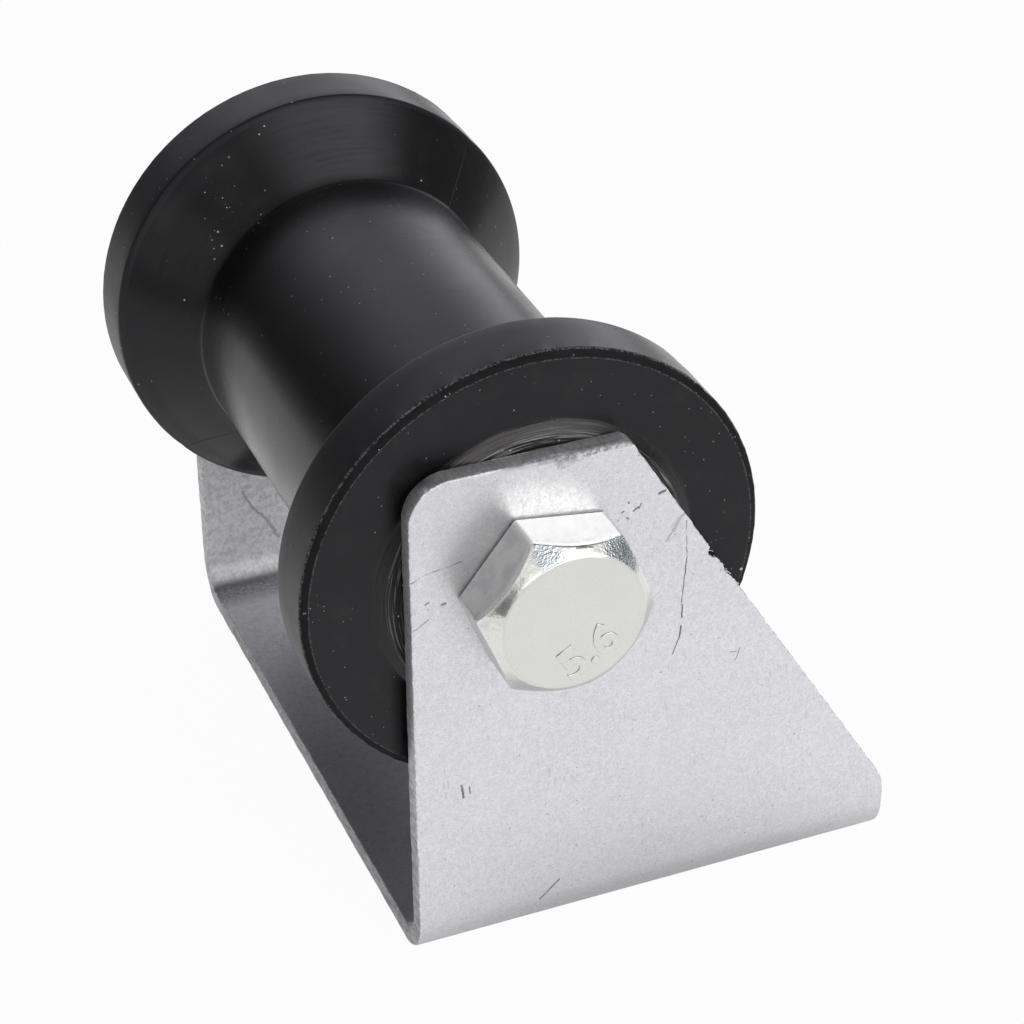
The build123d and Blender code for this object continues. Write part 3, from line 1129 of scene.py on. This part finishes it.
def drill(piece, radius, middle, turn):
    """Cuts a hole with bevelled edges through the sheet at a point of its middle, turned about X."""
    flare = radius + sheet
    corners = [(0, -1.5 * sheet, 0), (flare, -sheet / 2 - flare + radius + hole_edge_bevel, 0),
               (radius, -sheet / 2 + hole_edge_bevel, 0.12), (radius, sheet / 2 - hole_edge_bevel, 0.12),
               (flare, sheet / 2 + flare - radius - hole_edge_bevel, 0), (0, 1.5 * sheet, 0)]
    outline = rounded(corners, steps=2)
    angles = np.linspace(0, TURN, hole_segments, endpoint=False)
    across = outline[None, :, 0] * np.cos(angles)[:, None]
    up = outline[None, :, 0] * np.sin(angles)[:, None]
    along = np.repeat(outline[None, :, 1], len(angles), axis=0)
    points = np.stack([across, up, along], axis=2).reshape(-1, 3)
    faces = grid_faces(len(angles), len(outline), True, False)
    cutter = solid("cutter", points, faces, list(piece.data.materials), weld=0.001)
    turning = Matrix.Rotation(math.radians(turn), 4, "X")
    cutter.matrix_world = Matrix.Translation(middle * MM) @ turning
    bpy.context.view_layer.update()
    cut = piece.modifiers.new("drill", "BOOLEAN")
    cut.operation = "DIFFERENCE"
    cut.solver = "EXACT"
    cut.object = cutter
    made = shaped(piece)
    piece.modifiers.clear()
    piece.data = made
    bpy.data.objects.remove(cutter)


def make_bolt(material):
    """Head, shank and the core of the thread in one piece, a profile for each angle."""
    angles = hexagon_angles(head_turn)
    thread_start = tip_y - thread_length
    drop = math.tan(head_bevel_angle)
    profiles = []
    counts = None
    for angle in angles:
        side = hexagon_radius(angle, *head_hexagon)
        shoulder = head_top_y + (side - head_face_radius) * drop
        outline = rounded([
            (0, head_top_y, 0),
            (head_face_radius, head_top_y, head_edge_round * 3),
            (side, shoulder, head_edge_round),
            (side, head_seat_y - head_seat_gap, 0.12),
            (side - 0.7, head_seat_y, 0),
            (shank_radius, head_seat_y, 0),
            (shank_radius, thread_start - shank_radius + thread_core_radius, 0),
            (thread_core_radius, thread_start, 0),
            (thread_core_radius, tip_y - bolt_tip_bevel, 0.15),
            (thread_core_radius - bolt_tip_bevel, tip_y, 0.15),
            (0, tip_y, 0),
        ])
        if counts is None:
            counts = np.minimum(run_counts(outline, 0.7), 14)
        profiles.append(divided(outline, counts))
    profiles = np.array(profiles)

    # Forging marks: the bevel is slightly hammered
    radius = profiles[:, :, 0]
    along = profiles[:, :, 1]
    on_bevel = (radius > head_face_radius - 0.3) & (along < head_seat_y - 3)
    flat = round_axis(profiles, angles).reshape(-1, 3)
    dents = waves(flat, 31, 1.1, 3.2, 0.035).reshape(radius.shape)
    above = np.clip((along - head_top_y) / 0.3, 0, 1)
    along = np.where(on_bevel, along + np.abs(dents) * above, along)
    profiles = np.stack([radius, along], axis=2)
    piece = turned("bolt_steel", profiles, angles, [material], closed=False, sharp=40)
    x, y, z = np.array([vertex.co for vertex in piece.data.vertices]).T / MM
    out = np.hypot(x - axis_x, z - axis_z)
    below_cone = y - head_top_y - (out - head_face_radius) * drop
    on_head = y < head_seat_y
    mark_points(piece, "bevel", (np.abs(below_cone) < 0.25) & (out > head_face_radius) & on_head)

    # The bevel meets each side in a line of painted highlight, brightest on the upper left side
    turn = np.arctan2(z - axis_z, x - axis_x)
    sides = np.array([hexagon_radius(angle, *head_hexagon) for angle in turn])
    off_cone = below_cone * math.cos(head_bevel_angle)
    near_line = np.exp(-(off_cone ** 2 + (out - sides) ** 2) / 0.2 ** 2) * on_head
    upper_left = (turn > head_turn + math.radians(120)) & (turn < head_turn + math.radians(180))
    mark_points(piece, "painted_edge_highlight", near_line * np.where(upper_left, 1.0, 0.45))
    return piece


def make_thread(material):
    """The thread's ridge: one helix, thin at both ends."""
    start = tip_y - thread_length + 0.6
    turns = (thread_length - 1.6) / thread_pitch
    total = round(turns * thread_segments)
    root = thread_core_radius - 0.15
    flank = thread_pitch * 0.46
    crest = thread_pitch * 0.07
    points = []
    for step in range(total + 1):
        turned_by = step / thread_segments
        fade = min(1.0, turned_by / 0.6, (turns - turned_by) / 0.8)
        tall = root + 0.05 + (thread_crest_radius - root - 0.05) * max(fade, 0.02)
        middle = start + turned_by * thread_pitch
        angle = turned_by * TURN
        blunt = tall - 0.05
        across = math.cos(angle)
        up = math.sin(angle)
        for radius, offset in ((root, -flank), (blunt, -crest), (tall, 0), (blunt, crest), (root, flank)):
            points.append((axis_x + radius * across, middle + offset, axis_z + radius * up))
    faces = grid_faces(total + 1, 5, False, True)
    faces.append(tuple(range(5)))
    faces.append(tuple(total * 5 + corner for corner in range(5)))
    return solid("bolt_thread", points, faces, [material], sharp=40)


def make_nut(material):
    """The lock nut: hexagon, round collar, bore and the groove that holds the ring."""
    angles = hexagon_angles(nut_turn)
    shoulder = nut_seat_y + nut_hex_height
    groove_top = nut_top_y - lip_height
    flat = nut_across_flats / 2
    profiles = []
    for angle in angles:
        side = hexagon_radius(angle, nut_across_flats, nut_turn, head_corner_round)
        bevel = (side - flat + 0.25) * math.tan(nut_bevel_angle)
        profiles.append(rounded([
            (nut_core_radius, nut_seat_y + 0.7, 0.1),
            (nut_core_radius + 0.7, nut_seat_y, 0.1),
            (flat - 0.25, nut_seat_y, 0.2),
            (side, nut_seat_y + bevel, 0.12),
            (side, shoulder - bevel, 0.12),
            (flat - 0.25, shoulder, 0.1),
            (collar_radius, shoulder, 0.25),
            (collar_radius, nut_top_y - collar_slope, 0.8),
            (collar_radius - collar_slope, nut_top_y, 0.5),
            (lip_hole_radius, nut_top_y, 0.3),
            (lip_hole_radius, groove_top, 0.1),
            (insert_radius + 0.05, groove_top, 0),
            (insert_radius + 0.05, groove_top - insert_height, 0),
            (nut_core_radius, groove_top - insert_height, 0),
        ], closed=True))
    return turned("lock_nut_steel", np.array(profiles), angles, [material], closed=True, sharp=40)


def make_ring(material):
    """The nylon ring, cut into by the thread at its bore."""
    angles = np.linspace(0, TURN, ring_segments, endpoint=False)
    top = nut_top_y - lip_height
    outline = rounded([
        (nut_core_radius, top - insert_height, 0),
        (insert_radius, top - insert_height, 0.2),
        (insert_radius, top, 0.1),
        (nut_core_radius, top, 0.35),
    ], closed=True)
    outline = np.vstack([outline, outline[:1]])
    outline = divided(outline, run_counts(outline, 0.6))[:-1]
    profiles = np.repeat(outline[None], len(angles), axis=0)
    at_bore = (outline[:, 1] > top - 0.2) & (outline[:, 0] < 8.4)
    profiles[:, :, 1] += 0.08 * np.sin(angles * 2 + 0.6)[:, None] * at_bore
    return turned("nut_ring", profiles, angles, [material], closed=True, sharp=60)


def make_number(material, side_material):
    """Raised number on the head, of the bolt's own metal, with duller sides."""
    text = bpy.data.curves.new("grade", "FONT")
    text.body = grade_text
    text.size = grade_size
    text.extrude = grade_height / 2
    text.bevel_depth = grade_bevel
    text.bevel_resolution = 1
    text.offset = grade_stroke
    text.align_x = "CENTER"
    text.align_y = "CENTER"
    holder = placed("grade", text)
    mesh = shaped(holder)
    bpy.data.objects.remove(holder)
    across = Vector((math.cos(grade_slope), 0, math.sin(grade_slope)))
    up = Vector((-math.sin(grade_slope), 0, math.cos(grade_slope)))
    out = Vector((0, -1, 0))
    centre = Vector((grade_centre[0], head_top_y, grade_centre[1]))
    for vertex in mesh.vertices:
        local = vertex.co
        vertex.co = (centre + across * local.x + up * local.y + out * local.z) * MM
    mesh.name = "grade_number"
    mesh.materials.clear()
    mesh.materials.append(material)
    mesh.materials.append(side_material)
    for polygon in mesh.polygons:
        polygon.material_index = 0 if abs(polygon.normal.y) > 0.9 else 1
    return placed("grade_number", mesh)


# Floor, light and camera

def make_floor():
    """A wide pale floor that the camera sees as white, with the object's faint shadow."""
    half = 4.0
    drop = -0.0002
    mesh = bpy.data.meshes.new("floor")
    corners = [(-half, -half, drop), (half, -half, drop), (half, half, drop), (-half, half, drop)]
    mesh.from_pydata(corners, [], [(0, 1, 2, 3)])
    material = bpy.data.materials.new("floor_white")
    material.use_nodes = True
    nodes = Nodes(material.node_tree)
    ray = nodes.several("ShaderNodeLightPath")
    seen = nodes.most(ray["Is Camera Ray"], ray["Is Glossy Ray"], ray["Is Transmission Ray"])
    plain = nodes.add("ShaderNodeBsdfDiffuse", {"Color": grey(0.86)})
    place = nodes.add("ShaderNodeTexCoord", give="Object")
    from_middle = nodes.vector("DISTANCE", place, floor_lit_middle)
    lit = from_middle.fade(floor_lit_radius, floor_dim_radius, floor_brightness, floor_dimness)
    lit = lit * nodes.vector("LENGTH", place).fade(floor_shade_radius, floor_shade_end, floor_shade)
    strength = nodes.add("ShaderNodeMix", {0: ray["Is Camera Ray"], 2: lit, 3: 1.0}, data_type="FLOAT")
    glow = nodes.add("ShaderNodeEmission", {"Color": grey(1.0), "Strength": strength})
    both = nodes.add("ShaderNodeMixShader", {0: seen * floor_glow_share, 1: plain, 2: glow})
    nodes.node("ShaderNodeOutputMaterial", {"Surface": both})
    mesh.materials.append(material)
    placed("floor", mesh)


def make_world():
    """White where the camera looks. The object sees a dark studio with large soft lights."""
    world = bpy.data.worlds.new("studio")
    bpy.context.scene.world = world
    world.use_nodes = True
    nodes = Nodes(world.node_tree)
    looking = nodes.vector("NORMALIZE", nodes.add("ShaderNodeTexCoord", give="Generated"))
    sharpness = 1 / math.radians(studio_light_size) ** 2
    total = wall_brightness
    for azimuth, elevation, brightness in studio_lights:
        round_z = math.radians(azimuth)
        rise = math.radians(elevation)
        towards = (math.sin(round_z) * math.cos(rise), math.cos(round_z) * math.cos(rise), math.sin(rise))
        facing = nodes.vector("DOT_PRODUCT", looking, towards)
        spread = nodes.maths("EXPONENT", nodes.maths("MULTIPLY_ADD", facing, sharpness, -sharpness))
        total = nodes.maths("MULTIPLY_ADD", spread, brightness, total)
    seen = nodes.add("ShaderNodeLightPath", give="Is Camera Ray")
    strength = nodes.add("ShaderNodeMix", {0: seen, 2: total, 3: 1.0}, data_type="FLOAT")
    in_front = nodes.parts(looking)[1].fade(0.3, -0.3)
    tint = nodes.mix(nodes.most(seen, in_front), studio_tint, grey(1.0))
    background = nodes.add("ShaderNodeBackground", {"Color": tint, "Strength": strength})
    nodes.node("ShaderNodeOutputWorld", {"Surface": background})


def make_camera():
    ahead = Vector(camera_ahead).normalized()
    right = Vector(camera_right)
    right = (right - ahead * right.dot(ahead)).normalized()
    up = right.cross(ahead)
    lens = bpy.data.cameras.new("camera")
    lens.lens = camera_lens
    lens.sensor_width = sensor_width
    holder = placed("camera", lens)
    turn = Matrix((right, up, -ahead)).transposed().to_4x4()
    holder.matrix_world = Matrix.Translation(Vector(camera_place)) @ turn
    bpy.context.scene.camera = holder


def dress():
    """All pieces, each on its body and standing for its node."""
    steel = bright_zinc()
    edge = cut_edge()
    plating = zinc_sheet()
    black = rubber()
    fibres, burrs = torn_edge_ends()
    made = [
        (make_bracket(plating, edge), "bracket", "plated_sheet", "bracket"),
        (make_roller(black), "roller", "black_rubber", "roller"),
        (make_slivers("edge_fibres", fibres, 0.13, 1.1, 5, black), "bracket", "black_rubber", None),
        (make_slivers("edge_burrs", burrs, 0.17, 0.3, 6, plating), "bracket", "plated_sheet", None),
        (make_bolt(steel), "bracket", "plated_bolt", "bolt"),
        (make_thread(steel), "bracket", "plated_bolt", None),
        (make_number(steel, edge), "bracket", "plated_bolt", None),
        (make_nut(steel), "bracket", "plated_bolt", "lock_nut"),
        (make_ring(nylon()), "bracket", "white_nylon", "nut_insert"),
    ]
    for piece, body, finish, node in made:
        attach(piece, body)
        if node:
            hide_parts(node)


dress()
make_floor()
make_world()
make_camera()
bpy.context.scene.view_settings.view_transform = "Standard"


def plain(box):
    return [[float(value) for value in corner] for corner in box]
